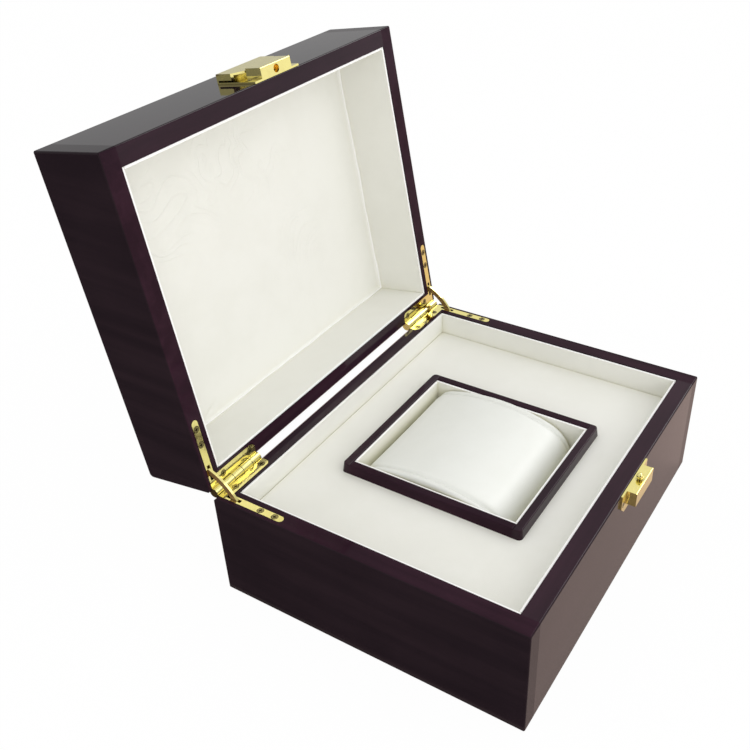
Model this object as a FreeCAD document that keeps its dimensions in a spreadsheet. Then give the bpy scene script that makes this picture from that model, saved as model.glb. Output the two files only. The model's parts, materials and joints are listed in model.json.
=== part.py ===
import FreeCAD, Part
import math
import os
import re

# Watch display box, open at its stop: +Z up, front towards -Y, origin at the centre of the underside

doc = FreeCAD.newDocument("watch_display_box")
Vector = FreeCAD.Vector
Rotation = FreeCAD.Rotation

sizes = {
    # Case
    "case_width": 200,
    "case_depth": 158,
    "base_height": 58.8,
    "lid_height": 39,
    "wall_thickness": 8.5,
    "panel_thickness": 6,
    "edge_radius": 0.8,
    "lid_rear_radius": 2.2,
    "base_chamfer": 2.4,
    "lid_chamfer": 1.4,
    "rim_gap": 0.4,
    "felt_thickness": 0.8,
    "felt_inset": 3,
    # Lining, false floor and well
    "liner_thickness": 1.25,
    "liner_drop": 0.4,
    "pad_thickness": 1.8,
    "deck_depth": 12.4,
    "deck_thickness": 3,
    "deck_gap": 0.2,
    "support_width": 8,
    "opening_width": 79.5,
    "opening_depth": 87,
    "lining_thickness": 1.2,
    "lining_drop": 0.5,
    "floor_thickness": 1.5,
    "frame_height": 5,
    "frame_foot": 4.6,
    "frame_crest": 4,
    "frame_radius": 0.5,
    "frame_corner": 2.2,
    # Cushion
    "cushion_height": 45.8,
    "cushion_front_round": 19,
    "cushion_rear_round": 13,
    "cushion_draw": 1.6,
    "seam_width": 3,
    "cover_thickness": 1,
    "end_thickness": 1.2,
    "end_recess": 0.4,
    "seat_gap": 0.3,
    "cushion_side_gap": 0.55,
    "cushion_front_gap": 4.2,
    "cushion_rear_gap": 0.4,
    "soft_gap": 0.05,
    # Hinges
    "open_angle": 99.2,
    "axis_setback": 0.8,
    "leaf_thickness": 1.5,
    "leaf_inset": 2,
    "leaf_margin": 1.5,
    "arm_width": 3.6,
    "side_reach": 37.2,
    "mortise_gap": 0.15,
    "knuckle_count": 5,
    "knuckle_length": 5.95,
    "knuckle_gap": 0.3,
    "knuckle_radius": 2.4,
    "knuckle_clearance": 0.3,
    "pin_radius": 1,
    "pin_clearance": 0.05,
    # Quadrant stays: the strip's middle stands off the hinge axis, its bend is wider, its tails are in degrees
    "stay_radius": 8.1,
    "stay_bend": 26,
    "stay_width": 2.8,
    "stay_thickness": 1.2,
    "stay_tail": 3.5,
    "stop_radius": 1,
    "stop_length": 2.4,
    "stop_gap": 0.1,
    "slot_gap": 0.45,
    "slot_end": 1.2,
    "slot_side": 0.25,
    # Screws
    "screw_head": 1.45,
    "sink_gap": 0.25,
    "screw_sink": 1.1,
    "screw_shank": 0.95,
    "screw_length": 9,
    "screw_gap": 0.05,
    "screw_end": 4.6,
    "screw_step": 8,
    "screw_margin": 2.2,
    "recess_width": 0.45,
    "recess_span": 1.9,
    "recess_depth": 0.5,
    # Clasp
    "clasp_offset": 7,
    "clasp_sheet": 0.9,
    "plate_length": 31,
    "base_plate": 11.5,
    "lid_plate": 22.5,
    "ear_chamfer": 4,
    "ear_inset": 2.4,
    "ear_drop": 6,
    "ear_screw": 7,
    "flange_length": 21,
    "flange_reach": 5.6,
    "flange_radius": 0.4,
    "base_flange": 7.4,
    "lid_flange": 8.8,
    "stud_radius": 1.6,
    "stud_rise": 1.8,
    "stud_neck": 1,
    "stud_foot": 1.5,
    "socket_clearance": 0.3,
    "spring_thickness": 0.4,
    "spring_height": 3,
    "spring_margin": 0.6,
    "curl_radius": 1.2,
    "hood_gap": 0.3,
    "hood_reach": 4.7,
    "hood_flare": 4.6,
    "hood_slit": 0.9,
}
sheet = doc.addObject("Spreadsheet::Sheet", "Sizes")
for row, (alias, number) in enumerate(sizes.items(), 1):
    sheet.set(f"A{row}", alias)
    sheet.set(f"B{row}", str(number))
    sheet.setAlias(f"B{row}", alias)
doc.recompute()
size = sheet.get
parts = []


# Binding: a formula is written in the sheet's aliases, which all have an underscore
alias_word = re.compile(r"[a-z]+_[a-z_]+")


def bind(thing, **formulas):
    for prop, words in formulas.items():
        thing.setExpression(prop, alias_word.sub(r"Sizes.\g<0>", words))


def place(thing, spot, turn=None):
    if turn:
        thing.Placement.Rotation = turn
    for axis, words in zip("xyz", spot):
        bind(thing, **{"Placement.Base." + axis: words})


def shifted(spot, turn, local):
    # The spot moved along the turned axes, whose directions are whole numbers
    columns = [turn.multVec(axis) for axis in (Vector(1, 0, 0), Vector(0, 1, 0), Vector(0, 0, 1))]
    moved = []
    for axis in range(3):
        steps = [(round(column[axis]), words) for column, words in zip(columns, local)]
        moved.append(" + ".join([spot[axis]] + [f"{step} * ({words})" for step, words in steps if step]))
    return moved


# The two halves of the case share one frame at the hinge axis, with depths counted from the rim
axis_y = "case_depth / 2 + axis_setback"
axis_z = "base_height + rim_gap / 2"
front_face = "-(axis_setback + case_depth)"
rear_face = "-axis_setback"


class Half:
    def __init__(self, name, sign, depth, rear_radius, chamfer):
        self.name = name
        self.sign = sign
        self.depth = depth
        self.rear_radius = rear_radius
        self.chamfer = chamfer
        self.rim, self.far = ("ZMin", "ZMax") if sign > 0 else ("ZMax", "ZMin")
        self.into = Rotation() if sign > 0 else Rotation(Vector(1, 0, 0), 180)

    def at(self, depth):
        return f"{self.sign} * (rim_gap / 2 + {depth})"

    def span(self, near, far):
        return (self.at(near), self.at(far)) if self.sign > 0 else (self.at(far), self.at(near))


base = Half("base", -1, "(base_height - felt_thickness)", "edge_radius", "base_chamfer")
lid = Half("lid", 1, "lid_height", "lid_rear_radius", "lid_chamfer")


def new_body(label, half=None):
    body = doc.addObject("PartDesign::Body", label)
    body.Label = label
    if half is lid:
        body.Placement.Rotation = Rotation(Vector(-1, 0, 0), size("open_angle"))
        bind(body, **{"Placement.Rotation.Angle": "open_angle * 1 deg"})
    if half:
        place(body, ("0", axis_y, axis_z))
    parts.append(body)
    return body


def mirrored(source, label, normal=(1, 0, 0)):
    copy = doc.addObject("Part::Mirroring", label)
    copy.Label = label
    copy.Source = source
    copy.Normal = normal
    parts.append(copy)
    return copy


def box(body, kind, x, y, z):
    piece = body.newObject(f"PartDesign::{kind}Box", "Block")
    for prop, (low, high) in zip(("Length", "Width", "Height"), (x, y, z)):
        bind(piece, **{prop: f"({high}) - ({low})"})
    place(piece, (x[0], y[0], z[0]))
    return piece


def rod(body, kind, radius, length, spot, turn=None):
    piece = body.newObject(f"PartDesign::{kind}Cylinder", "Rod")
    bind(piece, Radius=radius, Height=length)
    place(piece, spot, turn)
    return piece


def upright(body, kind, radius, x, y, z):
    return rod(body, kind, radius, f"({z[1]}) - ({z[0]})", (x, y, z[0]))


# An edge is named by the outer faces that it lies on
def edge_on(faces):
    def test(edge, whole):
        for face in faces:
            near, far = [getattr(edge, face[0] + end) - getattr(whole, face) for end in ("Min", "Max")]
            if max(abs(near), abs(far)) > 0.001:
                return False
        return True
    return test


def limits(shape):
    return shape.optimalBoundingBox(False, False)


def dress(body, kind, amount, *tests):
    doc.recompute()
    before = body.Tip
    whole = limits(before.Shape)
    edges = enumerate(before.Shape.Edges, 1)
    chosen = [f"Edge{number}" for number, edge in edges if any(test(limits(edge), whole) for test in tests)]
    feature = body.newObject(f"PartDesign::{kind}", kind)
    feature.Base = (before, chosen)
    bind(feature, **{"Radius" if kind == "Fillet" else "Size": amount})


# Screws: a countersunk head with a cross recess, the local Z axis pointing into the wood
def screw_shape(body, kind, spot, turn, length, gap="0", head_gap="0"):
    head = body.newObject(f"PartDesign::{kind}Cone", "Head")
    bind(head, Radius1=f"screw_head + {head_gap}", Radius2=f"screw_shank + {gap}", Height="screw_sink")
    place(head, spot, turn)
    start = shifted(spot, turn, ("0", "0", "screw_sink"))
    rod(body, kind, f"screw_shank + {gap}", f"{length} - screw_sink + {gap}", start, turn)


def screw_hole(body, spot, turn, length):
    screw_shape(body, "Subtractive", spot, turn, length, "screw_gap", "sink_gap")


def screw(body, spot, turn, length):
    screw_shape(body, "Additive", spot, turn, length)
    for long_side, short_side in (("recess_span", "recess_width"), ("recess_width", "recess_span")):
        corner = shifted(spot, turn, (f"-{long_side} / 2", f"-{short_side} / 2", "0"))
        slot = body.newObject("PartDesign::SubtractiveBox", "Recess")
        bind(slot, Length=long_side, Width=short_side, Height="recess_depth")
        place(slot, corner, turn)


# Left hinge places, in the hinge axis frame
leaf_side = "(-case_width / 2 + leaf_inset)"
arm_middle = f"({leaf_side} + arm_width / 2)"
hinge_length = "(knuckle_count * knuckle_length + (knuckle_count - 1) * knuckle_gap)"
leaf_end = f"({leaf_side} + {hinge_length})"
tip_centre = "(-(axis_setback + side_reach - arm_width / 2))"
barrel_edge = "(-(knuckle_radius + knuckle_clearance))"
arm_inner = "(-(axis_setback + wall_thickness - leaf_margin))"
arm_centre = f"(({arm_inner} + {barrel_edge}) / 2)"
arm_round = f"(({barrel_edge} - {arm_inner}) / 2)"
along_x = Rotation(Vector(0, 1, 0), 90)
hinge_screws = [
    (arm_middle, "-(axis_setback + side_reach - screw_end)"),
    (arm_middle, "-(axis_setback + side_reach - screw_end - screw_step)"),
    ("-case_width / 2 + wall_thickness + screw_margin", arm_centre),
    (f"{leaf_end} - screw_margin - screw_head", arm_centre),
]

# Quadrant stay: its bend is centred behind the hinge axis, its angles start at the strip's middle
half_open = "(open_angle * 0.5 deg)"
stay_offset = "(stay_bend - stay_radius)"
stay_outer = "(stay_bend + stay_width / 2)"
stay_inner = "(stay_bend - stay_width / 2)"
stop_drop = "(rim_gap / 2 + leaf_thickness + stop_gap + stop_radius)"
stop_angle = f"({half_open} + asin(({stop_drop} - {stay_offset} * sin({half_open})) / stay_bend))"
stay_half = f"({stop_angle} + stay_tail * 1 deg)"
stay_reach = f"sqrt({stay_outer} ^ 2 + {stay_offset} ^ 2 - 2 * {stay_outer} * {stay_offset} * cos({stay_half}))"
leaf_drop = f"(rim_gap / 2 + leaf_thickness - {stay_offset} * sin({half_open}))"
slot_front = f"(sqrt({stay_outer} ^ 2 - {leaf_drop} ^ 2) - {stay_offset} * cos({half_open}) + slot_end)"


def leaf_plan(body, kind, half, gap, rear_edge):
    z = half.span("0", "leaf_thickness")
    box(body, kind, (f"{leaf_side} - {gap}", f"{leaf_side} + arm_width + {gap}"), (tip_centre, rear_edge), z)
    upright(body, kind, f"arm_width / 2 + {gap}", arm_middle, tip_centre, z)
    turn_x = f"({leaf_end} - {arm_round})"
    box(body, kind, (f"{leaf_side} - {gap}", turn_x), (f"{arm_inner} - {gap}", rear_edge), z)
    upright(body, kind, f"{arm_round} + {gap}", turn_x, arm_centre, z)
    box(body, kind, (turn_x, f"{leaf_end} + {gap}"), (arm_centre, rear_edge), z)


def hinge_pilots(body, half, spots):
    z = half.span("0", "screw_length + screw_gap")
    for x, y in spots:
        upright(body, "Subtractive", "screw_shank + screw_gap", x, y, z)


relief_radius = "knuckle_radius + knuckle_clearance"
relief_length = f"({hinge_length} + 2 * mortise_gap)"
relief_starts = [f"{leaf_side} - mortise_gap", f"mortise_gap - {leaf_side} - {relief_length}"]


def barrel_relief(body, starts):
    for start in starts:
        rod(body, "Subtractive", relief_radius, relief_length, (start, "0", "0"), along_x)


# Walls: the side walls run the full depth, the front and rear walls fit between them
inner_x = ("-case_width / 2 + wall_thickness", "case_width / 2 - wall_thickness")
inner_y = (f"{front_face} + wall_thickness", f"{rear_face} - wall_thickness")
lined_x = (f"{inner_x[0]} + liner_thickness", f"{inner_x[1]} - liner_thickness")
lined_y = (f"{inner_y[0]} + liner_thickness", f"{inner_y[1]} - liner_thickness")


def side_walls(half):
    body = new_body(f"{half.name}_left_wall", half)
    box(body, "Additive", ("-case_width / 2", inner_x[0]), (front_face, rear_face), half.span("0", half.depth))
    dress(body, "Chamfer", half.chamfer, edge_on(("YMax", half.rim)))
    dress(body, "Fillet", half.rear_radius, edge_on(("YMax", half.far)))
    front_edges = edge_on(("YMin", half.rim)), edge_on(("YMin", half.far))
    dress(body, "Fillet", "edge_radius", edge_on(("XMin",)), *front_edges)
    leaf_plan(body, "Subtractive", half, "mortise_gap", "0")
    barrel_relief(body, relief_starts[:1])
    slot_half = "(stop_length / 2 + slot_side)"
    slot_rear = f"{stay_offset} - {stay_inner} * cos({stay_half}) + slot_gap"
    slot_depth = f"({stay_outer} * sin({stay_half}) + slot_gap)"
    box(body, "Subtractive", (f"{arm_middle} - {slot_half}", f"{arm_middle} + {slot_half}"),
        (f"-({stay_reach} + slot_gap)", slot_rear), half.span("0", slot_depth))
    hinge_pilots(body, half, hinge_screws[:2])
    mirrored(body, f"{half.name}_right_wall")


def rear_wall(half):
    body = new_body(f"{half.name}_rear_wall", half)
    box(body, "Additive", inner_x, (inner_y[1], rear_face), half.span("0", half.depth))
    dress(body, "Chamfer", half.chamfer, edge_on(("YMax", half.rim)))
    dress(body, "Fillet", half.rear_radius, edge_on(("YMax", half.far)))
    leaf_plan(body, "Subtractive", half, "mortise_gap", "0")
    hinge_pilots(body, half, hinge_screws[2:])
    doc.recompute()
    other_end = body.newObject("PartDesign::Mirrored", "OtherEnd")
    other_end.Originals = [cut for cut in body.Group if cut.TypeId.startswith("PartDesign::Subtractive")]
    planes = {plane.Role: plane for plane in body.Origin.OriginFeatures}
    other_end.MirrorPlane = (planes["YZ_Plane"], [""])
    body.Tip = other_end
    barrel_relief(body, relief_starts)


# Clasp places, in the hinge axis frame
ear_spots = [f"clasp_offset + {side} * (plate_length / 2 - ear_inset)" for side in (-1, 1)]
plate_face = f"({front_face} - clasp_sheet)"
flange_face = f"({front_face} - flange_reach)"
flange_inside = f"({flange_face} + clasp_sheet)"
stud_y = f"({front_face} - flange_reach / 2)"
into_front = Rotation(Vector(1, 0, 0), -90)


def front_wall(half):
    body = new_body(f"{half.name}_front_wall", half)
    box(body, "Additive", inner_x, (front_face, inner_y[0]), half.span("0", half.depth))
    dress(body, "Fillet", "edge_radius", edge_on(("YMin", "ZMin")), edge_on(("YMin", "ZMax")))
    for x in ear_spots:
        spot = (x, plate_face, half.at("ear_drop"))
        screw_hole(body, spot, into_front, "ear_screw")


# Lining boards: the side boards run the full inside depth, the front and rear boards fit between them
def liners(half, far):
    z = half.span("liner_drop", far)
    left = new_body(f"{half.name}_liner_left", half)
    box(left, "Additive", (inner_x[0], lined_x[0]), inner_y, z)
    mirrored(left, f"{half.name}_liner_right")
    front = new_body(f"{half.name}_liner_front", half)
    box(front, "Additive", lined_x, (inner_y[0], lined_y[0]), z)
    rear = new_body(f"{half.name}_liner_rear", half)
    box(rear, "Additive", lined_x, (lined_y[1], inner_y[1]), z)


for half in (base, lid):
    side_walls(half)
    rear_wall(half)
    front_wall(half)
    liners(half, f"{half.depth} - panel_thickness")

bottom = new_body("base_bottom_panel", base)
box(bottom, "Additive", inner_x, inner_y, base.span(f"{base.depth} - panel_thickness", base.depth))
top = new_body("lid_top_panel", lid)
box(top, "Additive", inner_x, inner_y, lid.span("lid_height - panel_thickness", "lid_height"))
pad = new_body("lid_pad", lid)
pad_z = lid.span("lid_height - panel_thickness - pad_thickness", "lid_height - panel_thickness")
box(pad, "Additive", lined_x, lined_y, pad_z)

# Felt, false floor, battens and well, in the case frame
felt = new_body("base_felt")
felt_x = ("-case_width / 2 + felt_inset", "case_width / 2 - felt_inset")
felt_y = ("-case_depth / 2 + felt_inset", "case_depth / 2 - felt_inset")
box(felt, "Additive", felt_x, felt_y, ("0", "felt_thickness"))

panel_top = "(felt_thickness + panel_thickness)"
deck_top = "(base_height - deck_depth)"
deck_under = f"({deck_top} - deck_thickness)"
frame_top = f"({deck_top} + frame_height)"
lined_half_x = "(case_width / 2 - wall_thickness - liner_thickness)"
lined_half_y = "(case_depth / 2 - wall_thickness - liner_thickness)"


def both_ways(words):
    return f"-({words})", words


half_x = "opening_width / 2"
half_y = "opening_depth / 2"
deck_z = (deck_under, deck_top)
deck = new_body("deck_board")
box(deck, "Additive", both_ways(f"{lined_half_x} - deck_gap"), both_ways(f"{lined_half_y} - deck_gap"), deck_z)
box(deck, "Subtractive", both_ways(half_x), both_ways(half_y), deck_z)
batten = new_body("deck_support_left")
batten_x = (f"-{lined_half_x}", f"-{lined_half_x} + support_width")
box(batten, "Additive", batten_x, both_ways(lined_half_y), (panel_top, deck_under))
mirrored(batten, "deck_support_right")

well_x = both_ways(f"{half_x} - lining_thickness")
well_y = both_ways(f"{half_y} - lining_thickness")
well_z = (panel_top, f"{frame_top} - lining_drop")
well_left = new_body("well_wall_left")
box(well_left, "Additive", (f"-{half_x}", well_x[0]), both_ways(half_y), well_z)
mirrored(well_left, "well_wall_right")
well_front = new_body("well_wall_front")
box(well_front, "Additive", well_x, (f"-{half_y}", well_y[0]), well_z)
mirrored(well_front, "well_wall_rear", (0, 1, 0))
well_floor = new_body("well_floor")
box(well_floor, "Additive", well_x, well_y, (panel_top, f"{panel_top} + floor_thickness"))


# Frame bars with drafted outer sides: a wedge stood up so that its second rectangle is on top
def rising(edge, whole):
    return edge.ZLength > whole.ZLength / 2 and abs(edge.YMin - whole.YMin) < 0.001


def frame_bar(label, foot, crest):
    body = new_body(label)
    bar = body.newObject("PartDesign::AdditiveWedge", "Bar")
    bind(bar, Ymin="0", Ymax="frame_height")
    for prop, words in zip(("Xmin", "Xmax", "Zmin", "Zmax"), foot):
        bind(bar, **{prop: words})
    for prop, words in zip(("X2min", "X2max", "Z2min", "Z2max"), crest):
        bind(bar, **{prop: words})
    place(bar, ("0", "0", deck_top), Rotation(Vector(1, 0, 0), 90))
    return body


bar_front = frame_bar("frame_front", both_ways(f"{half_x} + frame_foot") + (half_y, f"{half_y} + frame_foot"),
                      both_ways(f"{half_x} + frame_crest") + (half_y, f"{half_y} + frame_crest"))
dress(bar_front, "Fillet", "frame_corner", rising)
dress(bar_front, "Fillet", "frame_radius", edge_on(("ZMax",)))
mirrored(bar_front, "frame_rear", (0, 1, 0))
bar_left = frame_bar("frame_left", (f"-{half_x} - frame_foot", f"-{half_x}") + both_ways(half_y),
                     (f"-{half_x} - frame_crest", f"-{half_x}") + both_ways(half_y))
dress(bar_left, "Fillet", "frame_radius", edge_on(("ZMax",)))
mirrored(bar_left, "frame_right")


# Cushion: an oval section of tangent arcs, flat at the rear, drawn in by an even amount towards its end seams
def oval(x, draw):
    front = size("cushion_front_round") - draw
    rear = size("cushion_rear_round") - draw
    flat = front - rear
    half_depth = cushion_depth / 2 - draw
    half_height = size("cushion_height") / 2 - draw
    front_y, rear_y = front - half_depth, half_depth - rear
    rise = half_height - front
    span = (rear_y - front_y) / math.sqrt(rise)
    root = (span ** 2 - 2 * flat) / (2 * span)
    crown_y = front_y + math.sqrt(rise) * root
    below = (root ** 2 - rise) / 2
    front_lean = math.atan2(front_y - crown_y, below)
    rear_lean = math.atan2(rear_y - crown_y, below + flat)
    rear_turns = rear_lean, (rear_lean + math.pi / 2) / 2
    joint = (front_y + front * math.sin(front_lean), front * math.cos(front_lean))
    corner, bulge = [(rear_y + rear * math.sin(turn), flat + rear * math.cos(turn)) for turn in rear_turns]
    rounds = [joint, (crown_y, half_height), corner, bulge, (half_depth, flat)]
    under = [(y, -z) for y, z in reversed(rounds)]
    middle = cushion_bottom + size("cushion_height") / 2
    places = [Vector(x, cushion_y + y, middle + z) for y, z in rounds + under + [(-half_depth, 0), joint]]
    edges = [Part.Arc(*places[start:start + 3]).toShape() for start in (0, 2, 5, 7, 9)]
    edges.insert(2, Part.makeLine(places[4], places[5]))
    return Part.Wire(edges)


def prism(low, high, draw):
    return Part.Face(oval(low, draw)).extrude(Vector(high - low, 0, 0))


def soft_part(label, shape):
    piece = doc.addObject("Part::Feature", label)
    piece.Label = label
    piece.Shape = shape
    piece.Placement = FreeCAD.Placement()
    parts.append(piece)


cushion_bottom = size("felt_thickness") + size("panel_thickness") + size("floor_thickness") + size("seat_gap")
cushion_rear = size("opening_depth") / 2 - size("lining_thickness") - size("cushion_rear_gap")
cushion_front = size("lining_thickness") + size("cushion_front_gap") - size("opening_depth") / 2
cushion_depth = cushion_rear - cushion_front
cushion_y = (cushion_rear + cushion_front) / 2
cushion_end = size("opening_width") / 2 - size("lining_thickness") - size("cushion_side_gap")
seam_width = size("seam_width")
shoulder = cushion_end - seam_width
shoulder_steps = 4
seam_draw = size("cushion_draw")
inside_draw = seam_draw + size("cover_thickness")
core_draw = inside_draw + size("soft_gap")
panel_out = cushion_end - size("end_recess")
panel_in = panel_out - size("end_thickness")
half_stations = []
for step in range(shoulder_steps + 1):
    turn = math.radians(step * 90 / shoulder_steps)
    half_stations.append((shoulder + seam_width * math.sin(turn), seam_draw * (1 - math.cos(turn))))
stations = [(-x, draw) for x, draw in reversed(half_stations)] + half_stations
outside = Part.makeLoft([oval(x, draw) for x, draw in stations], True, True)
soft_part("cushion_sleeve", outside.cut(prism(-cushion_end, cushion_end, inside_draw)))
soft_part("cushion_core", prism(-panel_in + size("soft_gap"), panel_in - size("soft_gap"), core_draw))
soft_part("cushion_end_left", prism(-panel_out, -panel_in, core_draw))
soft_part("cushion_end_right", prism(panel_in, panel_out, core_draw))


# Hinge leaves: the lid leaf has the first knuckle, the base leaf the second, and so on
def leaf(half, first):
    body = new_body(f"hinge_left_{half.name}_leaf", half)
    leaf_plan(body, "Additive", half, "0", barrel_edge)
    leaf_z = half.span("0", "leaf_thickness")
    for number in range(first, int(size("knuckle_count")), 2):
        start = f"({leaf_side} + {number} * (knuckle_length + knuckle_gap))"
        box(body, "Additive", (start, f"{start} + knuckle_length"), (barrel_edge, "0"), leaf_z)
        rod(body, "Additive", "knuckle_radius", "knuckle_length", (start, "0", "0"), along_x)
    rod(body, "Subtractive", "pin_radius + pin_clearance", hinge_length, (leaf_side, "0", "0"), along_x)
    slot_half = "(stay_thickness / 2 + slot_side)"
    box(body, "Subtractive", (f"{arm_middle} - {slot_half}", f"{arm_middle} + {slot_half}"),
        (f"-{slot_front}", "slot_gap + stay_width / 2 - stay_radius"), leaf_z)
    screws = new_body(f"hinge_left_{half.name}_screws", half)
    for x, y in hinge_screws:
        spot = (x, y, half.at("0"))
        screw_hole(body, spot, half.into, "screw_length")
        screw(screws, spot, half.into, "screw_length")
    mirrored(body, f"hinge_right_{half.name}_leaf")
    mirrored(screws, f"hinge_right_{half.name}_screws")


leaf(base, 1)
leaf(lid, 0)
pin = new_body("hinge_left_pin", base)
rod(pin, "Additive", "pin_radius", hinge_length, (leaf_side, "0", "0"), along_x)
mirrored(pin, "hinge_right_pin")

# Quadrant stay: a flat bent strip, its lower end turned down to local -Y
stay = new_body("hinge_left_stay", base)
stay.Placement.Rotation = Rotation(Vector(-1, 0, 0), size("open_angle"))
bind(stay, **{"Placement.Rotation.Angle": f"{half_open} - {stay_half}"})
upward = Rotation(Vector(0, -1, 0), Vector(0, 0, 1), Vector(-1, 0, 0), "ZXY")
bend_y = f"{stay_offset} * cos({stay_half})"
bend_z = f"-{stay_offset} * sin({stay_half})"
bend_spot = (f"{arm_middle} + stay_thickness / 2", bend_y, bend_z)
band = rod(stay, "Additive", stay_outer, "stay_thickness", bend_spot, upward)
bind(band, Angle=f"2 * {stay_half}")
rod(stay, "Subtractive", stay_inner, "stay_thickness", bend_spot, upward)
for turn in ("stay_tail * 1 deg", f"(2 * {stay_half} - stay_tail * 1 deg)"):
    stop_y = f"{bend_y} - stay_bend * cos({turn})"
    stop_z = f"{bend_z} + stay_bend * sin({turn})"
    stop_spot = (f"{arm_middle} - stop_length / 2", stop_y, stop_z)
    rod(stay, "Additive", "stop_radius", "stop_length", stop_spot, along_x)
mirrored(stay, "hinge_right_stay")


# Clasp: each half is pressed from one sheet, a plate on the wall and a box along the rim, open on its far side
plate_x = ("clasp_offset - plate_length / 2", "clasp_offset + plate_length / 2")


def clasp_half(half, plate, lip):
    body = new_body(f"clasp_{half.name}_body", half)
    box(body, "Additive", plate_x, (plate_face, front_face), half.span("0", plate))
    if half is base:
        dress(body, "Chamfer", "ear_chamfer", edge_on(("XMin", half.far)), edge_on(("XMax", half.far)))
    flange_x = ("clasp_offset - flange_length / 2", "clasp_offset + flange_length / 2")
    box(body, "Additive", flange_x, (flange_face, plate_face), half.span("0", lip))
    dress(body, "Fillet", "flange_radius", edge_on(("YMin", half.rim)))
    hollow_x = (f"{flange_x[0]} + clasp_sheet", f"{flange_x[1]} - clasp_sheet")
    box(body, "Subtractive", hollow_x, (flange_inside, plate_face), half.span("clasp_sheet", lip))
    hole = "stud_neck + screw_gap" if half is base else "stud_radius + socket_clearance"
    upright(body, "Subtractive", hole, "clasp_offset", stud_y, half.span("0", "clasp_sheet"))
    screws = new_body(f"clasp_{half.name}_screws", half)
    for x in ear_spots:
        spot = (x, plate_face, half.at("ear_drop"))
        screw_hole(body, spot, into_front, "ear_screw")
        screw(screws, spot, into_front, "ear_screw")


clasp_half(base, "base_plate", "base_flange")
clasp_half(lid, "lid_plate", "lid_flange")

# Hood: a cover behind the socket, flared to the plate's length, its far wall standing on the plate
hood = new_body("clasp_hood", lid)
hood_face = f"({front_face} - hood_reach)"
hood_start = "(lid_flange + hood_gap)"
box(hood, "Additive", plate_x, (hood_face, plate_face), lid.span(hood_start, "lid_plate"))
dress(hood, "Chamfer", "hood_flare", edge_on(("XMin", lid.rim)), edge_on(("XMax", lid.rim)))
dress(hood, "Fillet", "flange_radius", edge_on(("YMin", lid.far)))
hood_x = (f"{plate_x[0]} + clasp_sheet", f"{plate_x[1]} - clasp_sheet")
under_hood = lid.span(hood_start, "lid_plate - clasp_sheet")
box(hood, "Subtractive", hood_x, (f"{hood_face} + clasp_sheet", plate_face), under_hood)
box(hood, "Subtractive", plate_x, (f"{plate_face} - hood_slit", plate_face), under_hood)

# Stud: a ball on a neck through the base flange, riveted under it
stud = new_body("clasp_stud", base)
ball_z = f"{base.at('0')} + stud_rise"
upright(stud, "Additive", "stud_neck", "clasp_offset", stud_y, (base.at("2 * clasp_sheet"), ball_z))
upright(stud, "Additive", "stud_foot", "clasp_offset", stud_y, base.span("clasp_sheet", "2 * clasp_sheet"))
ball = stud.newObject("PartDesign::AdditiveSphere", "Ball")
bind(ball, Radius="stud_radius")
place(ball, ("clasp_offset", stud_y, ball_z))

# Spring: a strip inside the lid flange, bent up over the socket, its ends rolled
spring = new_body("clasp_spring", lid)
along_y = Rotation(Vector(1, 0, 0), -90)
leg_inside = "(stud_radius + socket_clearance)"
leg_outside = f"({leg_inside} + spring_thickness)"
spring_reach = "(flange_length / 2 - clasp_sheet - spring_margin)"
curl_x = f"({spring_reach} - curl_radius)"
spring_y = (f"{flange_inside} + spring_margin", plate_face)
spring_width = f"({spring_y[1]}) - ({spring_y[0]})"
foot_z = lid.span("clasp_sheet", "clasp_sheet + spring_thickness")
arch_z = lid.span("clasp_sheet", "clasp_sheet + spring_height")
under_z = lid.span("clasp_sheet", "clasp_sheet + spring_height - spring_thickness")
curl_z = lid.at("clasp_sheet + curl_radius")
box(spring, "Additive", (f"clasp_offset - {curl_x}", f"clasp_offset + {curl_x}"), spring_y, foot_z)
box(spring, "Additive", (f"clasp_offset - {leg_outside}", f"clasp_offset + {leg_outside}"), spring_y, arch_z)
for side in (-1, 1):
    spot = (f"clasp_offset + {side} * {curl_x}", spring_y[0], curl_z)
    rod(spring, "Additive", "curl_radius", spring_width, spot, along_y)
    rod(spring, "Subtractive", "curl_radius - spring_thickness", spring_width, spot, along_y)
box(spring, "Subtractive", (f"clasp_offset - {leg_inside}", f"clasp_offset + {leg_inside}"), spring_y, under_z)

# Every object has to be sound before anything is written
doc.recompute()
for thing in doc.Objects:
    if {"Invalid", "Error"} & set(thing.State):
        raise RuntimeError(f"{thing.Label} failed: {thing.State}")
for piece in parts:
    if piece.Shape.isNull() or not piece.Shape.isValid() or not piece.Shape.Solids:
        raise RuntimeError(f"{piece.Label} has no sound solid")
os.makedirs("parts", exist_ok=True)
for piece in parts:
    piece.Shape.exportStep(f"parts/{piece.Label}.step")
    print(f"{piece.Label}: {len(piece.Shape.Solids)} solid, {piece.Shape.Volume:.1f} mm3")
print(len(parts), "pieces")
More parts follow.
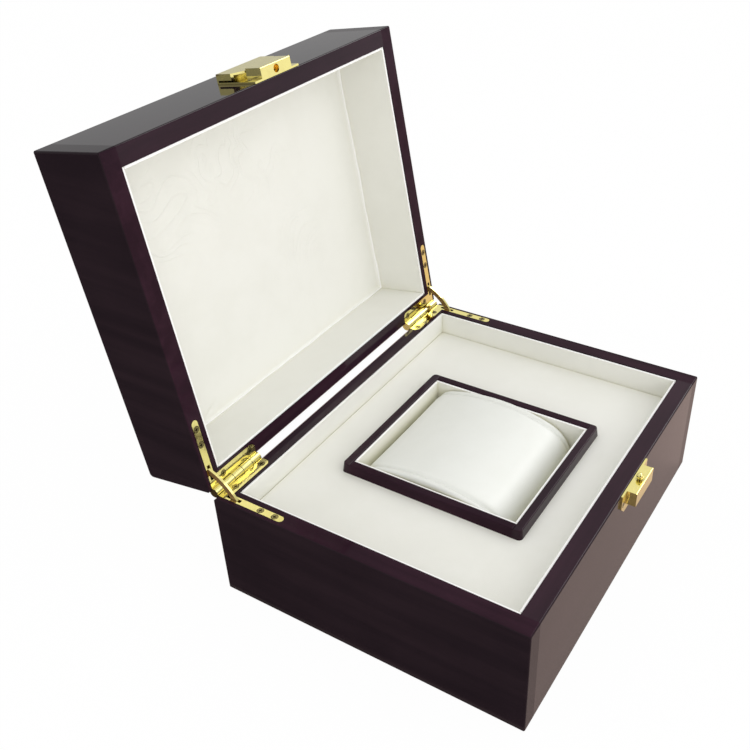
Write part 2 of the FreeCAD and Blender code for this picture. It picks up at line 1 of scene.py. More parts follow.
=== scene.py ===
import bpy
import json
import math
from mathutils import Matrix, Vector


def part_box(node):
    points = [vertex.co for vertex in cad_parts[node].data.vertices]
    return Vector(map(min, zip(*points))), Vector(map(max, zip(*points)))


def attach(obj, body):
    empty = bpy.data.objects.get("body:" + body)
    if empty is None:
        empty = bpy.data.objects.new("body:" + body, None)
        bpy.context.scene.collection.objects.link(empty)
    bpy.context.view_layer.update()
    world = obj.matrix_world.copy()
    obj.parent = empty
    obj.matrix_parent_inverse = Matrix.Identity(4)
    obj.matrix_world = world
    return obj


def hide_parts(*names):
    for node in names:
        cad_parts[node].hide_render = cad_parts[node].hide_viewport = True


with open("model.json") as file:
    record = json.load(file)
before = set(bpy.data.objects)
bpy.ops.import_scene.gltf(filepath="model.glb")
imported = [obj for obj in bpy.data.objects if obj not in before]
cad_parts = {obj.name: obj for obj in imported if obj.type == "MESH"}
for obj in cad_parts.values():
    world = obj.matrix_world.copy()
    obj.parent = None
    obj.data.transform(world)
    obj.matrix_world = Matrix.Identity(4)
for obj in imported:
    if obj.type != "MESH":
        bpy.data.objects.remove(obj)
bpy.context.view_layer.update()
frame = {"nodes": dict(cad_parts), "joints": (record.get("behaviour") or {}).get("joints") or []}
nodes = frame["nodes"]
hinge = next(joint for joint in frame["joints"] if joint["name"] == "lid_hinge")
hingeSpot = Vector(hinge["pos_m"])
openTurn = math.radians(hinge["range_deg"][1])
print("frame:", len(nodes), "CAD nodes")


class Socket:  # a node's output; sums and products of it become Math nodes
    def __init__(self, graph, link):
        self.graph = graph
        self.link = link

    def math(self, operation, left, right=0.0):
        return self.graph.node("Math", {"operation": operation}, [left, right])

    def __add__(self, other):
        return self.math("ADD", self, other)

    __radd__ = __add__

    def __mul__(self, other):
        return self.math("MULTIPLY", self, other)

    __rmul__ = __mul__

    def __sub__(self, other):
        return self.math("SUBTRACT", self, other)

    def __rsub__(self, other):
        return self.math("SUBTRACT", other, self)

    def __abs__(self):
        return self.math("ABSOLUTE", self)


class Graph:  # the node tree of one material or of the world
    def __init__(self, owner):
        owner.use_nodes = True
        self.owner = owner
        self.tree = owner.node_tree
        self.tree.nodes.clear()

    def node(self, kind, settings=None, sockets=None, out=0):
        made = self.tree.nodes.new("ShaderNode" + kind)
        for key, value in (settings or {}).items():
            setattr(made, key, value)
        named = enumerate(sockets) if isinstance(sockets, list) else (sockets or {}).items()
        for key, value in named:
            if isinstance(value, Socket):
                self.tree.links.new(value.link, made.inputs[key])
            else:
                made.inputs[key].default_value = value
        return Socket(self, made.outputs[out]) if made.outputs else None

    def where(self, scale=(1, 1, 1), turn=(0, 0, 0)):  # the piece's own coordinates, in metres
        spot = self.node("TexCoord", out="Object")
        return self.node("Mapping", {}, {"Vector": spot, "Rotation": turn, "Scale": scale})

    def noise(self, spot, scale, detail, rough=0.5, distortion=0.0):
        sockets = {"Vector": spot, "Scale": scale, "Detail": detail, "Roughness": rough}
        return self.node("TexNoise", {}, {**sockets, "Distortion": distortion})

    def cells(self, spot, scale):  # distance from the edges of a grain's cells
        return self.node("TexVoronoi", {"feature": "DISTANCE_TO_EDGE"}, {"Vector": spot, "Scale": scale})

    def between(self, value, low, high, first=0.0, last=1.0):  # a soft step from first to last
        sockets = {"Value": value, "From Min": low, "From Max": high, "To Min": first, "To Max": last}
        return self.node("MapRange", {"interpolation_type": "SMOOTHSTEP"}, sockets)

    def blend(self, share, first, last):
        colours = [colour if isinstance(colour, Socket) else (*colour, 1.0) for colour in (first, last)]
        return self.node("Mix", {"data_type": "RGBA"}, {0: share, 6: colours[0], 7: colours[1]}, out=2)

    def bump(self, height, depth, strength):
        return self.node("Bump", {}, {"Height": height, "Distance": depth, "Strength": strength})

    def facing(self, way, low, high):  # 1 where the surface faces this way
        normal = self.node("TexCoord", out="Normal")
        level = self.node("VectorMath", {"operation": "DOT_PRODUCT"}, [normal, way], out="Value")
        return self.between(level, low, high)

    def openness(self, reach, samples):  # 1 in the open, less in creases and corners
        return self.node("AmbientOcclusion", {"samples": samples}, {"Distance": reach}, out="AO")

    def surface(self, shader):
        self.node("OutputMaterial", {}, {"Surface": shader})
        return self.owner


def newMaterial(name):
    return Graph(bpy.data.materials.new(name))


def weighed(share, first, last):  # a mean of two sockets
    return first * share + last * (1 - share)


# Camera at the photograph's place
view = {"eye": (-0.32316, -0.17099, 0.34263), "turn": (55.572, 1.551, -58.149), "lens": 45.499,
        "sensor": 36.0, "shift": (-0.0403, 0.0014), "near": 0.01}
camera = bpy.data.objects.new("camera", bpy.data.cameras.new("camera"))
bpy.context.collection.objects.link(camera)
camera.location = view["eye"]
camera.rotation_euler = [math.radians(angle) for angle in view["turn"]]
camera.data.lens = view["lens"]
camera.data.sensor_width = view["sensor"]
camera.data.shift_x, camera.data.shift_y = view["shift"]
camera.data.clip_start = view["near"]
bpy.context.scene.camera = camera
bpy.context.scene.view_settings.view_transform = "Standard"
print("camera: lens", view["lens"], "mm")

# Studio: white surroundings, three soft lights, a pale floor, and two dark cards for gloss to mirror: the one
# behind the camera is a painted dark reflection, the one on the floor at the left is a painted shadow of the
# box
studio = {"white": (1, 1, 1, 1), "ambient": 0.93,
          # what mirrors see of the sky: its strength near the horizon and higher up, and the step between
          "skyLow": 0.56, "skyHigh": 0.86, "skyStep": (0.10, 0.55),
          # each light: place, size, power; all point at the aim
          "aim": (0, 0, 0.08),
          "key": ((0.25, -1.30, 1.15), 1.6, 6.0),
          "fill": ((-0.85, -0.9, 0.45), 0.6, 2.6),
          "gleam": ((1.12, -0.36, 1.07), 0.8, 7.5),
          # the floor's tint is a painted reflection: only mirrors see the floor in it, not in the floor's own
          # colour, and it fades to white over the far step
          "floorHalf": 6.0, "floorLevel": -0.0002, "floorColour": (0.92, 0.91, 0.90),
          "paintedFloorReflection": (0.775, 0.57, 0.497), "floorWhite": 0.975, "floorMirror": 0.10, "farStep": (1.0, 2.2),
          # each card: place, half width and depth, what it faces, fade of its left, right, near, far edges
          "cardColour": (0.05, 0.035, 0.035),
          "cards": [((-0.62, -0.36, 0.58), (0.42, 0.42), (0, 0, 0.05), (0.25, 0.25, 0.25, 0.25)),
                    # the floor card is a painted shadow: it darkens the floor at the box's left as the side
                    # faces mirror it
                    ((-0.5005, 0.39, 0.002), (0.3995, 0.61), None, (0.35, 0.0001, 0.115, 0.205))]}


def seen(graph, mirrorShare=1.0):  # 1 where the camera sees it, or a mirror or glass does
    kinds = ("Is Camera Ray", "Is Glossy Ray", "Is Transmission Ray")
    direct, glossy, through = [graph.node("LightPath", out=kind) for kind in kinds]
    return direct + (glossy + through) * mirrorShare


def makeSky():
    world = bpy.data.worlds.new("studio")
    bpy.context.scene.world = world
    sky = Graph(world)
    ambient = sky.node("Background", {}, {"Color": studio["white"], "Strength": studio["ambient"]})
    upward = sky.node("SeparateXYZ", {}, [sky.node("TexCoord", out="Generated")], out="Z")
    mirrored = sky.between(upward, *studio["skyStep"], studio["skyLow"], studio["skyHigh"])
    direct = sky.node("LightPath", out="Is Camera Ray")
    strength = mirrored + (1 - mirrored) * direct
    backdrop = sky.node("Background", {}, {"Color": studio["white"], "Strength": strength})
    sky.node("OutputWorld", {}, {"Surface": sky.node("MixShader", {}, [seen(sky), ambient, backdrop])})


def softLight(name):
    spot, size, power = studio[name]
    lamp = bpy.data.lights.new(name, "AREA")
    lamp.shape = "DISK"
    lamp.size = size
    lamp.energy = power
    holder = bpy.data.objects.new(name, lamp)
    bpy.context.collection.objects.link(holder)
    holder.location = spot
    holder.rotation_euler = (Vector(studio["aim"]) - Vector(spot)).to_track_quat("-Z", "Y").to_euler()
    return holder


def makeLights():
    softLight("key")
    softLight("fill").visible_glossy = False
    softLight("gleam").visible_diffuse = False


def meshObject(name, points, faces, material, smooth=True):
    mesh = bpy.data.meshes.new(name)
    mesh.from_pydata(points, [], faces)
    mesh.update()
    piece = bpy.data.objects.new(name, mesh)
    bpy.context.collection.objects.link(piece)
    mesh.materials.append(material)
    mesh.polygons.foreach_set("use_smooth", [smooth] * len(mesh.polygons))
    return piece


def flatSheet(name, halfX, halfY, level, material):
    corners = [(-halfX, -halfY, level), (halfX, -halfY, level), (halfX, halfY, level), (-halfX, halfY, level)]
    return meshObject(name, corners, [(0, 1, 2, 3)], material, False)


def floorPaper(name):
    graph = newMaterial(name)
    mirrored = graph.node("LightPath", out="Is Glossy Ray")
    # painted reflection: glossy rays see the floor in the tint
    colour = graph.blend(mirrored, studio["floorColour"], studio["paintedFloorReflection"])
    paper = graph.node("BsdfDiffuse", {}, {"Color": colour})
    white = graph.node("Emission", {}, {"Color": studio["white"], "Strength": 1.0})
    reach = graph.node("VectorMath", {"operation": "LENGTH"}, [graph.where()], out="Value")
    mirrorShare = graph.between(reach, *studio["farStep"], studio["floorMirror"], 1.0)
    share = seen(graph, mirrorShare) * studio["floorWhite"]
    return graph.surface(graph.node("MixShader", {}, [share, paper, white]))


def makeFloor():
    half = studio["floorHalf"]
    floor = flatSheet("floor", half, half, studio["floorLevel"], floorPaper("floorPaper"))


def cardPaper(name, fades):
    graph = newMaterial(name)
    place = graph.node("TexCoord", out="Generated")
    across, along = [graph.node("SeparateXYZ", {}, [place], out=axis) for axis in ("X", "Y")]
    share = 1.0
    for inward, fade in zip((across, 1 - across, along, 1 - along), fades):
        share = graph.between(inward, 0.0, fade) * share
    paper = graph.node("BsdfDiffuse", {}, {"Color": (*studio["cardColour"], 1.0)})
    return graph.surface(graph.node("MixShader", {}, [share, graph.node("BsdfTransparent"), paper]))


def makeCards():  # one behind the camera as a painted dark reflection, one on the floor at the left as a painted shadow of the box, both seen in reflections only
    for number, (spot, (halfX, halfY), aim, fades) in enumerate(studio["cards"]):
        card = flatSheet(f"card{number}", halfX, halfY, 0.0, cardPaper(f"cardPaper{number}", fades))
        card.location = spot
        if aim:
            card.rotation_euler = (Vector(aim) - card.location).to_track_quat("Z", "Y").to_euler()
        card.visible_camera = card.visible_diffuse = card.visible_shadow = card.visible_transmission = False


makeSky()
makeLights()
makeFloor()
makeCards()
print("studio: floor, two cards, sky and three soft lights")

# Lacquer: a faint wood figure under gloss; plum on the rims as painted light, as they face up to the light,
# and plum all over the frame; weaker gloss on the side boards as painted shade
lacquer = {"dark": (0.0140, 0.0090, 0.0118), "warm": (0.0215, 0.0132, 0.0168),
           "plumDark": (0.0190, 0.0076, 0.0132), "plum": (0.0330, 0.0128, 0.0220),
           # painted shade: the side boards' lower IOR weakens their gloss, so they read darker
           "ior": {"x": 1.25, "y": 1.14}, "gloss": 0.05, "smudge": 0.05,
           "peel": 0.000012, "peelStrength": 0.5,
           # noises: scale, detail, roughness, distortion
           "figureStretch": {"x": (7, 120, 120), "y": (120, 7, 120)}, "figureNoise": (1.0, 5.0, 0.6, 0.4),
           "cloudNoise": (22.0, 2.0), "smudgeNoise": (45.0, 4.0, 0.65), "peelNoise": (420.0, 1.0),
           "figureShare": 0.6, "figureStep": (0.35, 0.70), "smudgeStep": (0.5, 0.75), "paintedLightStep": (0.6, 0.95)}


# the way that the boards' rims face, where the lighter plum is painted as light; without it, plum all over
def lacquerCoat(name, along, turn, paintedLightWay=None):
    graph = newMaterial(name)
    figure = graph.noise(graph.where(lacquer["figureStretch"][along], turn), *lacquer["figureNoise"])
    cloud = graph.noise(graph.where(), *lacquer["cloudNoise"])
    smudges = graph.noise(graph.where(), *lacquer["smudgeNoise"])
    peel = graph.noise(graph.where(), *lacquer["peelNoise"])
    share = graph.between(weighed(lacquer["figureShare"], figure, cloud), *lacquer["figureStep"])
    body = graph.blend(share, lacquer["plumDark"], lacquer["plum"])
    # painted light: faces turned the rims' way get the lighter plum, the other faces the darker wood
    if paintedLightWay:
        wood = graph.blend(share, lacquer["dark"], lacquer["warm"])
        body = graph.blend(graph.facing(paintedLightWay, *lacquer["paintedLightStep"]), wood, body)
    shader = graph.node("BsdfPrincipled", {}, {
        "Base Color": body,
        "Roughness": lacquer["gloss"] + graph.between(smudges, *lacquer["smudgeStep"]) * lacquer["smudge"],
        "IOR": lacquer["ior"][along],
        "Normal": graph.bump(peel, lacquer["peel"], lacquer["peelStrength"])})
    return graph.surface(shader)


# Leatherette lining: a fine pebbled grain, a painted white highlight on the boards' edges and on a pad's
# turned-up fold, painted yellow shade in the corners, with fine wrinkles in patches of a pad
lining = {"light": (0.810, 0.806, 0.752), "shade": (0.790, 0.786, 0.728), "edge": (0.95, 0.94, 0.925),
          # painted shade in corners: its colour, the reach and samples of the occlusion, and its step
          "corner": (0.80, 0.785, 0.62), "cornerReach": 0.012, "cornerSamples": 4, "cornerStep": (0.05, 0.50),
          "paintedLightStep": (0.6, 0.95), "foldHighlightStep": (0.35, 0.72), "roughness": 0.5, "sheen": 0.12,
          "grain": 1500.0, "grainStep": (0.0, 0.35), "grainDepth": 0.00003, "grainStrength": 0.6,
          "grainShare": 0.6, "grainGloss": 0.08,
          # noises: scale, detail, roughness, distortion
          "mottleNoise": (60.0, 4.0, 0.6), "cloudNoise": (9.0, 2.0),
          "mottleShare": 0.6, "mottleStep": (0.38, 0.62),
          "creaseNoise": (24.0, 2.0, 0.5, 0.7), "creaseLoops": 17.0,
          "creaseStep": (0.0, 0.2), "creaseCore": 0.3}


def outsidePaintedShade(graph):  # 0 in creases and corners, where painted shade goes
    openness = graph.openness(lining["cornerReach"], lining["cornerSamples"])
    return graph.between(openness, *lining["cornerStep"])


def wrinkles(graph, spot, patches):  # fine curved wrinkles, like contour lines, in a few patches
    field = graph.noise(spot, *lining["creaseNoise"])
    loops = field.math("PINGPONG", field * lining["creaseLoops"], 0.5)
    share = 0.0
    for centre, reach in patches:
        away = graph.node("VectorMath", {"operation": "DISTANCE"}, [spot, centre], out="Value")
        share = graph.between(away, reach * lining["creaseCore"], reach, 1.0, 0.0) + share
    return graph.between(loops, *lining["creaseStep"], 1.0, 0.0) * share


# the boards' edges face the first way, and a pad faces the fold way inside its turned-up border; both get a
# painted white highlight
def leatherette(name, paintedLightWay=None, fold=None, creaseDepth=0.0, creaseSpots=()):
    graph = newMaterial(name)
    spot = graph.where()
    pebbles = graph.between(graph.cells(spot, lining["grain"]), *lining["grainStep"])
    mottle = graph.noise(spot, *lining["mottleNoise"])
    cloud = graph.noise(spot, *lining["cloudNoise"])
    height = weighed(lining["grainShare"], pebbles, mottle)
    if creaseSpots:
        height = height + wrinkles(graph, spot, creaseSpots) * (creaseDepth / lining["grainDepth"])
    share = graph.between(weighed(lining["mottleShare"], mottle, cloud), *lining["mottleStep"])
    colour = graph.blend(share, lining["shade"], lining["light"])
    # painted shade: yellower in creases and corners
    colour = graph.blend(outsidePaintedShade(graph), lining["corner"], colour)
    # painted highlight: white on the boards' edges turned up to the light
    if paintedLightWay:
        colour = graph.blend(graph.facing(paintedLightWay, *lining["paintedLightStep"]), colour, lining["edge"])
    # painted highlight: white on the pad's turned-up fold
    if fold:
        colour = graph.blend(graph.facing(fold, *lining["foldHighlightStep"]), lining["edge"], colour)
    shader = graph.node("BsdfPrincipled", {}, {
        "Base Color": colour,
        "Roughness": lining["roughness"] - pebbles * lining["grainGloss"],
        "Sheen Weight": lining["sheen"],
        "Normal": graph.bump(height, lining["grainDepth"], lining["grainStrength"])})
    return graph.surface(shader)


# Gold plate: polished, with painted shade darkening it in the corners; the stays' flat sides are painted dull
# and brown as shade
gold = {"bright": (0.93, 0.83, 0.32), "paintedShade": (0.20, 0.14, 0.045), "roughness": 0.08, "haze": 0.10,
        # painted shade on the stays' flat sides: colour, metal, and the step of their facing
        "side": (0.24, 0.140, 0.052), "shadedSideMetal": 0.25, "shadedSideStep": (0.7, 0.95),
        "screw": (0.33, 0.28, 0.12), "screwPaintedShade": (0.035, 0.025, 0.012), "screwDull": 0.10,
        "spring": (0.95, 0.70, 0.26), "springDull": 0.05,
        # painted shade in corners: reach and samples of the occlusion, its step, level and haze
        "cornerReach": 0.0015, "cornerSamples": 6, "cornerStep": (0.30, 0.90),
        "cornerLevel": 0.85, "cornerHaze": 0.3,
        # noises: scale, detail, roughness
        "hazeNoise": (160.0, 4.0, 0.6), "hazeStep": (0.45, 0.7), "scratchStretch": (150, 2600, 2600),
        "scratchNoise": (1.0, 2.0), "scratch": 0.000008, "scratchStrength": 0.4}


def goldPlate(name, bright, paintedShade, dull=0.0, side=None):
    graph = newMaterial(name)
    haze = graph.noise(graph.where(), *gold["hazeNoise"])
    lines = graph.noise(graph.where(gold["scratchStretch"]), *gold["scratchNoise"])
    # painted shade: darker gold in corners and hollows
    openness = graph.openness(gold["cornerReach"], gold["cornerSamples"])
    unshadedShare = graph.between(openness * (gold["cornerLevel"] + haze * gold["cornerHaze"]), *gold["cornerStep"])
    colour = graph.blend(unshadedShare, paintedShade, bright)
    metal = 1.0
    # painted shade: faces turned across go dull brown and less metal
    if side:
        sideways = graph.node("SeparateXYZ", {}, [graph.node("TexCoord", out="Normal")], out="X")
        across = graph.between(abs(sideways), *gold["shadedSideStep"])
        colour = graph.blend(across, colour, side)
        metal = 1 - across * (1 - gold["shadedSideMetal"])
    shader = graph.node("BsdfPrincipled", {}, {
        "Base Color": colour,
        "Metallic": metal,
        "Roughness": gold["roughness"] + dull + graph.between(haze, *gold["hazeStep"]) * gold["haze"],
        "Normal": graph.bump(lines, gold["scratch"], gold["scratchStrength"])})
    return graph.surface(shader)


# Felt under the base
felt = {"dark": (0.030, 0.022, 0.026), "light": (0.075, 0.060, 0.066), "noise": (1500.0, 4.0, 0.7, 1.2),
        "step": (0.35, 0.7), "roughness": 0.95, "sheen": 0.4, "depth": 0.0003, "strength": 0.7}


def feltCloth(name):
    graph = newMaterial(name)
    fibres = graph.noise(graph.where(), *felt["noise"])
    shader = graph.node("BsdfPrincipled", {}, {
        "Base Color": graph.blend(graph.between(fibres, *felt["step"]), felt["dark"], felt["light"]),
        "Roughness": felt["roughness"],
        "Sheen Weight": felt["sheen"],
        "Normal": graph.bump(fibres, felt["depth"], felt["strength"])})
    return graph.surface(shader)


# Raw board: the battens under the deck
board = {"dark": (0.40, 0.27, 0.15), "light": (0.55, 0.40, 0.25), "stretch": (90, 900, 900),
         "noise": (1.0, 4.0, 0.6), "step": (0.3, 0.7), "roughness": 0.8, "depth": 0.0001, "strength": 0.6}


def rawBoard(name):
    graph = newMaterial(name)
    fibres = graph.noise(graph.where(board["stretch"]), *board["noise"])
    shader = graph.node("BsdfPrincipled", {}, {
        "Base Color": graph.blend(graph.between(fibres, *board["step"]), board["dark"], board["light"]),
        "Roughness": board["roughness"],
        "Normal": graph.bump(fibres, board["depth"], board["strength"])})
    return graph.surface(shader)


baseTurn = (0, 0, 0)
lidTurn = (openTurn, 0, 0)
baseRim = (0.0, 0.0, 1.0)
lidRim = (0.0, -math.sin(openTurn), -math.cos(openTurn))
finishes = {
    # painted light: the box's rims get the lighter plum; the frame is plum all over
    "baseAlongX": lacquerCoat("lacquerBaseX", "x", baseTurn, baseRim),
    "baseAlongY": lacquerCoat("lacquerBaseY", "y", baseTurn, baseRim),
    "lidAlongX": lacquerCoat("lacquerLidX", "x", lidTurn, lidRim),
    "lidAlongY": lacquerCoat("lacquerLidY", "y", lidTurn, lidRim),
    "frameAlongX": lacquerCoat("lacquerFrameX", "x", baseTurn),
    "frameAlongY": lacquerCoat("lacquerFrameY", "y", baseTurn),
    "lining": leatherette("leatherette"),
    # painted highlight: the liners' top edges turn white
    "baseLiner": leatherette("leatheretteBase", paintedLightWay=baseRim),
    "lidLiner": leatherette("leatheretteLid", paintedLightWay=lidRim),
    "gold": goldPlate("goldPlate", gold["bright"], gold["paintedShade"]),
    "stayGold": goldPlate("goldStayShadedSides", gold["bright"], gold["paintedShade"], side=gold["side"]),
    "screwGold": goldPlate("goldScrew", gold["screw"], gold["screwPaintedShade"], gold["screwDull"]),
    "springGold": goldPlate("goldSpring", gold["spring"], gold["spring"], gold["springDull"]),
    "felt": feltCloth("felt"),
    "board": rawBoard("rawBoard"),
}


def finishFor(name):
    if name.endswith(("_wall", "_panel")) or name.startswith("frame_"):
        half = name.split("_")[0]
        side = "left" in name or "right" in name
        return f"{half}AlongY" if side else f"{half}AlongX"
    for kind in ("stay", "screw", "spring"):
        if kind in name:
            return f"{kind}Gold"
    if name.startswith(("hinge", "clasp")):
        return "gold"
    if "_liner_" in name or name.startswith("well_wall"):
        return "lidLiner" if name.startswith("lid") else "baseLiner"
    if name == "base_felt":
        return "felt"
    return "board" if name.startswith("deck_support") else "lining"


for name, node in nodes.items():
    node.data.materials.clear()
    node.data.materials.append(finishes[finishFor(name)])
print("finishes:", len(finishes))

# Lining boards: the leatherette folds softly over their edges
folds = {"width": 0.0005, "segments": 3, "weld": 0.00001}
for name, node in nodes.items():
    if "_liner_" in name or name.startswith("well_") or name == "deck_board":
        weld = node.modifiers.new("weld", "WELD")
        weld.merge_threshold = folds["weld"]
        fold = node.modifiers.new("fold", "BEVEL")
        fold.width = folds["width"]
        fold.segments = folds["segments"]
        fold.limit_method = "ANGLE"
        fold.harden_normals = True
print("folds:", folds["width"] * 1000, "mm")

# Cushion: a sleeve gathered into a rolled seam at each end, over soft foam
cushion = {"frontRound": 0.019, "rearRound": 0.013, "shrink": 0.0003,
           "around": 120, "rows": 27, "arcSteps": 80,
           # the rolled seam: distance in from the end, drawn in from the outline
           "seamRoll": [(0.0066, 0.0), (0.0052, 0.0002), (0.0043, 0.0008), (0.0037, 0.0017), (0.0031, 0.0013),
                        (0.0022, 0.0005), (0.0012, 0.0005), (0.0005, 0.0010), (0.0002, 0.0020)],
           "seamPin": 0.005,  # the cover is held still this near its ends
           "endInset": 0.0006, "endRings": (0.85, 0.65, 0.45, 0.25, 0.1),
           "pressure": 6.0, "frames": 18, "quality": 6, "mass": 0.2, "stretch": 15, "bend": 1,
           "evenOut": 30, "swell": 0.0014,
           "light": (0.762, 0.772, 0.730), "shade": (0.750, 0.760, 0.716), "roughness": 0.36, "sheen": 0.2,
           "mottleNoise": (70.0, 4.0, 0.6), "mottleDull": 0.06, "grainShare": 0.8, "grainStrength": 0.5}


# points from front to rear over the top, and back below
def cushionSection(halfDepth, halfHeight, front, rear):
    flat = front - rear
    frontY, rearY = front - halfDepth, halfDepth - rear
    rise = halfHeight - front
    span = (rearY - frontY) / math.sqrt(rise)
    root = (span ** 2 - 2 * flat) / (2 * span)
    crownY = frontY + math.sqrt(rise) * root
    below = (root ** 2 - rise) / 2
    frontLean, rearLean = math.atan2(frontY - crownY, below), math.atan2(rearY - crownY, below + flat)
    # each arc: its centre, radius, and first and last turn from upright
    arcs = [(crownY, -below, below + halfHeight, frontLean, rearLean),
            (rearY, flat, rear, rearLean, math.pi / 2),
            (rearY, -flat, rear, math.pi / 2, math.pi - rearLean),
            (crownY, below, below + halfHeight, math.pi - rearLean, math.pi - frontLean),
            (frontY, 0, front, math.pi - frontLean, 2 * math.pi + frontLean)]
    points = []
    steps = cushion["arcSteps"]
    for y, z, radius, first, last in arcs:
        turns = [first + (last - first) * step / steps for step in range(steps)]
        points += [(y + radius * math.sin(turn), z + radius * math.cos(turn)) for turn in turns]
    return points


def evenlySpaced(dense, count):  # this many points along a closed outline
    lengths = [math.dist(dense[number], dense[(number + 1) % len(dense)]) for number in range(len(dense))]
    points = []
    number, passed = 0, 0.0
    for step in range(count):
        along = sum(lengths) * step / count
        while passed + lengths[number] < along:
            passed += lengths[number]
            number += 1
        share = (along - passed) / lengths[number]
        (y, z), (nextY, nextZ) = dense[number], dense[(number + 1) % len(dense)]
        points.append((y + (nextY - y) * share, z + (nextZ - z) * share))
    return points


def withOutward(points):  # each point with the direction that faces out there
    outline = []
    for number, (y, z) in enumerate(points):
        (lastY, lastZ), (nextY, nextZ) = points[number - 1], points[(number + 1) % len(points)]
        reach = math.hypot(nextY - lastY, nextZ - lastZ)
        outline.append((y, z, (lastZ - nextZ) / reach, (nextY - lastY) / reach))
    return outline


def strip(ring, beyond, flip=False):  # the faces between two rings of points
    faces = []
    for step in range(len(ring)):
        beside = (step + 1) % len(ring)
        quad = (ring[step], ring[beside], beyond[beside], beyond[step])
        faces.append(quad[::-1] if flip else quad)
    return faces


def makeCushion():
    low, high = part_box("cushion_sleeve")
    middle = (low + high) / 2
    half = (high - low) / 2 - Vector((0.0, cushion["shrink"], cushion["shrink"]))
    front, rear = cushion["frontRound"] - cushion["shrink"], cushion["rearRound"] - cushion["shrink"]
    around, rows = cushion["around"], cushion["rows"]
    outline = withOutward(evenlySpaced(cushionSection(half.y, half.z, front, rear), around))

    # stations along the sleeve: place across, how far drawn in, and whether held still
    reach = half.x - cushion["seamRoll"][0][0]
    stations = [(reach * (2 * row / (rows - 1) - 1), 0.0, 0.0) for row in range(rows)]
    ends = []
    for inset, draw in cushion["seamRoll"][1:]:
        ends.append((half.x - inset, draw, 1.0 if inset < cushion["seamPin"] else 0.0))
    stations = [(-x, draw, pin) for x, draw, pin in reversed(ends)] + stations + ends

    points = []
    pins = []
    for x, draw, pin in stations:
        for y, z, outY, outZ in outline:
            points.append((middle.x + x, middle.y + y - draw * outY, middle.z + z - draw * outZ))
            pins.append(pin)
    rings = [range(row * around, (row + 1) * around) for row in range(len(stations))]
    faces = []
    for ring, beyond in zip(rings, rings[1:]):
        faces += strip(ring, beyond)
    for ring, side in ((rings[0], -1), (rings[-1], 1)):  # end panels, as shrinking rings
        endX = middle.x + side * (half.x - cushion["endInset"])
        for share in cushion["endRings"]:
            inner = range(len(points), len(points) + around)
            points += [(endX, middle.y + y * share, middle.z + z * share) for y, z, *_ in outline]
            pins += [0.0] * around
            faces += strip(ring, inner, side < 0)
            ring = inner
        faces.append(tuple(ring if side > 0 else reversed(ring)))

    piece = meshObject("cushionCover", points, faces, pearlCover("pearlLeatherette"))
    puffUp(piece, pins)
    smooth = piece.modifiers.new("smooth", "SUBSURF")
    smooth.levels = smooth.render_levels = 1
    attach(piece, "cushion")
    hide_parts("cushion_sleeve", "cushion_core", "cushion_end_left", "cushion_end_right")


def puffUp(piece, pins):  # the foam presses the cover out between its seams
    group = piece.vertex_groups.new(name="seams")
    for number, pin in enumerate(pins):
        if pin:
            group.add([number], pin, "REPLACE")
    low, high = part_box("cushion_sleeve")
    before = [vertex.co.copy() for vertex in piece.data.vertices]
    cloth = piece.modifiers.new("cloth", "CLOTH")
    cloth.settings.quality = cushion["quality"]
    cloth.settings.mass = cushion["mass"]
    cloth.settings.tension_stiffness = cloth.settings.compression_stiffness = cushion["stretch"]
    cloth.settings.bending_stiffness = cushion["bend"]
    cloth.settings.use_pressure = True
    cloth.settings.uniform_pressure_force = cushion["pressure"]
    cloth.settings.vertex_group_mass = "seams"
    cloth.settings.effector_weights.gravity = 0
    scene = bpy.context.scene
    for number in range(1, cushion["frames"] + 1):
        scene.frame_set(number)
    puffed = bpy.data.meshes.new_from_object(piece.evaluated_get(bpy.context.evaluated_depsgraph_get()))
    moves = [vertex.co - start for vertex, start in zip(puffed.vertices, before)]
    piece.modifiers.remove(cloth)
    bpy.data.meshes.remove(puffed)
    scene.frame_set(1)
    most = max(move.length for move in moves)
    for again in range(cushion["evenOut"]):  # the foam evens out the cover's small ripples
        moves = evenedOut(moves, pins)
    swell = cushion["swell"]
    for vertex, start, move in zip(piece.data.vertices, before, moves):
        if move.length > 0:
            end = start + move.normalized() * swell * math.tanh(move.length / swell)
            vertex.co = [min(max(end.x, low.x), high.x), min(max(end.y, low.y), high.y), max(end.z, low.z)]
    piece.data.update()
    print("cushion: puffed by up to", round(most * 1000, 2), "mm before the limit")


def evenedOut(moves, pins):  # each free point of the sleeve takes the mean of its four neighbours' moves
    around = cushion["around"]
    rows = cushion["rows"] + 2 * (len(cushion["seamRoll"]) - 1)
    even = list(moves)
    for row in range(1, rows - 1):
        for step in range(around):
            here = row * around + step
            if not pins[here]:
                before, after = row * around + (step - 1) % around, row * around + (step + 1) % around
                even[here] = (moves[before] + moves[after] + moves[here - around] + moves[here + around]) / 4
    return even


def pearlCover(name):
    graph = newMaterial(name)
    spot = graph.where()
    pebbles = graph.between(graph.cells(spot, lining["grain"]), *lining["grainStep"])
    mottle = graph.noise(spot, *cushion["mottleNoise"])
    colour = graph.blend(graph.between(mottle, *lining["mottleStep"]), cushion["shade"], cushion["light"])
    height = weighed(cushion["grainShare"], pebbles, mottle)
    shader = graph.node("BsdfPrincipled", {}, {
        # painted shade: yellower in the cushion's creases
        "Base Color": graph.blend(outsidePaintedShade(graph), lining["corner"], colour),
        "Roughness": cushion["roughness"] + mottle * cushion["mottleDull"],
        "Sheen Weight": cushion["sheen"],
        "Normal": graph.bump(height, lining["grainDepth"], cushion["grainStrength"])})
    return graph.surface(shader)


makeCushion()

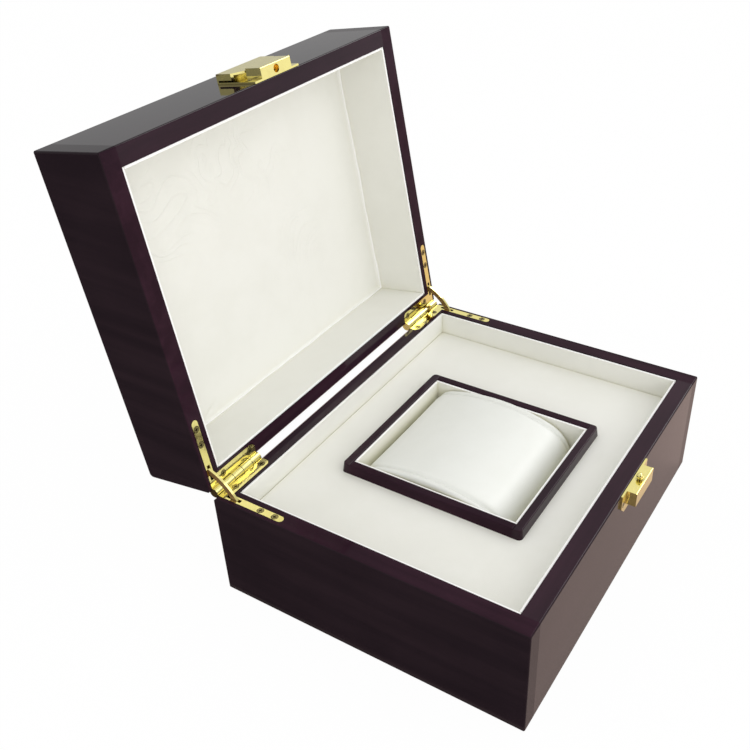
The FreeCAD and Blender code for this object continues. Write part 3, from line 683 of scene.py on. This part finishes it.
# Lid pad: leatherette over thin foam, crowned a little, turned up in a wavy cove against the lining boards
lidPad = {"halfWidth": 0.0899, "front": -0.1487, "rear": -0.0109, "face": 0.0316,  # from the hinge, lid closed
          "crown": 0.0003, "crownPower": 4, "cove": 0.0015, "sheet": 0.0004, "steps": (200, 160),
          # the cove's waves: share, waves along the edge in radians per metre, start
          "wave": 0.14, "waves": [(1.0, 95, 0.0), (0.6, 215, 1.3), (0.4, 440, 0.7)],
          "creaseDepth": 0.00022,
          # wrinkled patches: place across and along the closed lid, and reach
          "creases": [(-0.028, -0.128, 0.040), (0.012, -0.118, 0.032), (-0.060, -0.108, 0.032),
                      (0.030, -0.068, 0.024)],
          # puckers: place across and along the closed lid, turn in degrees, length, width, depth
          "puckers": [(-0.0735, -0.0165, 50, 0.004, 0.0007, 0.0007),
                      (-0.0610, -0.0150, -30, 0.006, 0.0008, 0.0007),
                      (-0.0580, -0.0160, -50, 0.007, 0.0008, 0.0005),
                      (-0.0850, -0.0200, 80, 0.010, 0.0008, 0.0005)]}


def openLid(x, y, z):  # a point of the closed lid, from the hinge axis, turned to where the lid stands open
    cosine, sine = math.cos(-openTurn), math.sin(-openTurn)
    return hingeSpot.x + x, hingeSpot.y + cosine * y - sine * z, hingeSpot.z + sine * y + cosine * z


def coveRise(gap, along):  # how far the cover turns up at this distance from a lining board
    wave = sum(share * math.sin(along * often + start) for share, often, start in lidPad["waves"])
    radius = lidPad["cove"] * (1 + lidPad["wave"] * wave)
    return radius - math.sqrt(radius ** 2 - max(0.0, radius - gap) ** 2)


def puckerDip(x, y):
    dip = 0.0
    for spotX, spotY, turn, length, width, depth in lidPad["puckers"]:
        cosine, sine = math.cos(math.radians(turn)), math.sin(math.radians(turn))
        along = (x - spotX) * cosine + (y - spotY) * sine
        across = (y - spotY) * cosine - (x - spotX) * sine
        dip += depth * math.exp(-(across / width) ** 2 - (2 * along / length) ** 2)
    return dip


def spread(step, steps, half):  # closer rows near the edges, where the cover turns up
    return half * math.sin((step / steps - 0.5) * math.pi)


def makeLidPad():
    across, along = lidPad["steps"]
    midY = (lidPad["front"] + lidPad["rear"]) / 2
    halfX, halfY = lidPad["halfWidth"], (lidPad["rear"] - lidPad["front"]) / 2
    power = lidPad["crownPower"]
    points = []
    for row in range(along + 1):
        y = spread(row, along, halfY)
        for step in range(across + 1):
            x = spread(step, across, halfX)
            cove = coveRise(min(halfX - abs(x), halfY - abs(y)), x + y)
            crown = lidPad["crown"] * (1 - (x / halfX) ** power) * (1 - (y / halfY) ** power)
            points.append(openLid(x, midY + y, lidPad["face"] - crown - cove + puckerDip(x, midY + y)))
    faces = []
    for row in range(along):
        for step in range(across):
            first = row * (across + 1) + step
            faces.append((first, first + across + 1, first + across + 2, first + 1))
    spots = [(openLid(x, y, lidPad["face"]), reach) for x, y, reach in lidPad["creases"]]
    # painted highlight: the cove turns white along the fold
    cover = leatherette("leatheretteCreased", fold=lidRim,
                        creaseDepth=lidPad["creaseDepth"], creaseSpots=spots)
    piece = meshObject("lidPadCover", points, faces, cover)
    thick = piece.modifiers.new("sheet", "SOLIDIFY")
    thick.thickness = lidPad["sheet"]
    thick.offset = -1
    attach(piece, "lid")
    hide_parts("lid_pad")


makeLidPad()
print("lid pad: cove", lidPad["cove"] * 1000, "mm")
